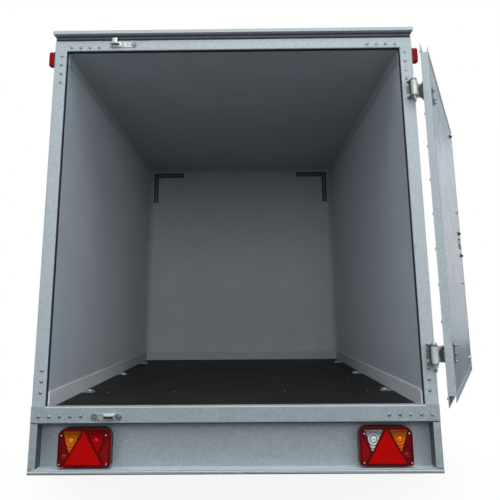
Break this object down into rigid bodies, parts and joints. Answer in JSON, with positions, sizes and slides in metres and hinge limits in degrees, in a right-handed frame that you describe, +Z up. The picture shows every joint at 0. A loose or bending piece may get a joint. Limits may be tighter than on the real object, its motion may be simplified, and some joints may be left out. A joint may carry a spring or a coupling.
{
  "type": "enclosed cargo trailer",
  "caption": "Single-axle enclosed cargo trailer: a panelled box on a galvanised frame with a side-hinged rear door, V drawbar, ball coupling and jockey wheel.",
  "frame": {"origin": "centre of the towing ball in the coupling head", "axes": "+Y forwards towards the towing vehicle, +X to the right seen from behind, +Z up; the ground is 0.430 m below the origin"},
  "size_m": [2.4426, 3.8982, 2.103],
  "materials": {
    "galvanised_steel": "hot-dip galvanised, faint spangle, satin",
    "white_panel": "smooth white laminate, satin",
    "floor_ply": "phenolic film-faced plywood, dark brown, satin",
    "cap_sheet": "plain sheet, satin",
    "dark_strip": "dark, matt",
    "grey_trim": "grey trim, satin",
    "black_rubber": "black rubber, matt",
    "black_plastic": "black, finely grained",
    "door_inner_sheet": "bright sheet, slightly wavy",
    "wheel_silver": "silver paint, satin",
    "tyre": "black rubber, matt",
    "lamp_red": "clear red lens, gloss",
    "lamp_white": "clear lens, gloss",
    "zinc_plated": "bright zinc plate, satin",
    "black_paint": "black paint, semi-gloss"
  },
  "bodies": {
    "trailer": {"chassis_rails": "galvanised_steel", "crossmembers": "galvanised_steel", "drawbar_arms": "galvanised_steel", "overrun_housing": "zinc_plated", "overrun_gaiter": "black_rubber", "ball_coupling": "zinc_plated", "coupling_handle": "black_paint", "handbrake_lever": "zinc_plated", "jockey_clamp": "zinc_plated", "jockey_tube": "galvanised_steel", "axle_beam": "galvanised_steel", "swing_arms": "galvanised_steel", "mudguards": "black_plastic", "floor_panel": "floor_ply", "left_wall": "white_panel", "right_wall": "white_panel", "front_wall": "white_panel", "roof_panel": "white_panel", "roof_riser": "dark_strip", "roof_cap": "cap_sheet", "edge_rails": "galvanised_steel", "rear_frame": "galvanised_steel", "rear_sill": "galvanised_steel", "lamp_panel": "galvanised_steel", "interior_trims": "grey_trim", "ceiling_brackets": "galvanised_steel", "lashing_eyes": "zinc_plated", "opening_seal": "black_rubber", "frame_hinges": "zinc_plated", "door_keepers": "zinc_plated", "tail_lamp_housings": "black_plastic", "tail_lamp_lenses": "lamp_red", "marker_lamps": "lamp_red", "front_lamps": "lamp_white"},
    "left_road_wheel": {"left_wheel": "wheel_silver", "left_tyre": "tyre"},
    "right_road_wheel": {"right_wheel": "wheel_silver", "right_tyre": "tyre"},
    "jockey_leg": {"jockey_fork": "galvanised_steel"},
    "jockey_roller": {"jockey_wheel": "black_rubber"},
    "rear_door": {"door_skin": "galvanised_steel", "door_frame": "galvanised_steel", "door_panel": "door_inner_sheet", "door_hinges": "zinc_plated", "lock_gear": "zinc_plated"}
  },
  "joints": [
    {"name": "left_wheel_spin", "type": "hinge", "parent": "trailer", "child": "left_road_wheel", "pos_m": [-0.9335, -2.63, -0.138], "axis": [1, 0, 0], "continuous": true},
    {"name": "right_wheel_spin", "type": "hinge", "parent": "trailer", "child": "right_road_wheel", "pos_m": [0.9335, -2.63, -0.138], "axis": [1, 0, 0], "continuous": true},
    {"name": "jockey_swivel", "type": "hinge", "parent": "trailer", "child": "jockey_leg", "pos_m": [-0.135, -0.4, -0.2], "axis": [0, 0, 1], "continuous": true},
    {"name": "jockey_wheel_spin", "type": "hinge", "parent": "jockey_leg", "child": "jockey_roller", "pos_m": [-0.135, -0.44, -0.325], "axis": [1, 0, 0], "continuous": true},
    {"name": "rear_door_hinge", "type": "hinge", "parent": "trailer", "child": "rear_door", "pos_m": [0.791, -3.84, 0.8], "axis": [0, 0, 1], "range_deg": [-248.6, 1.4]}
  ]
}
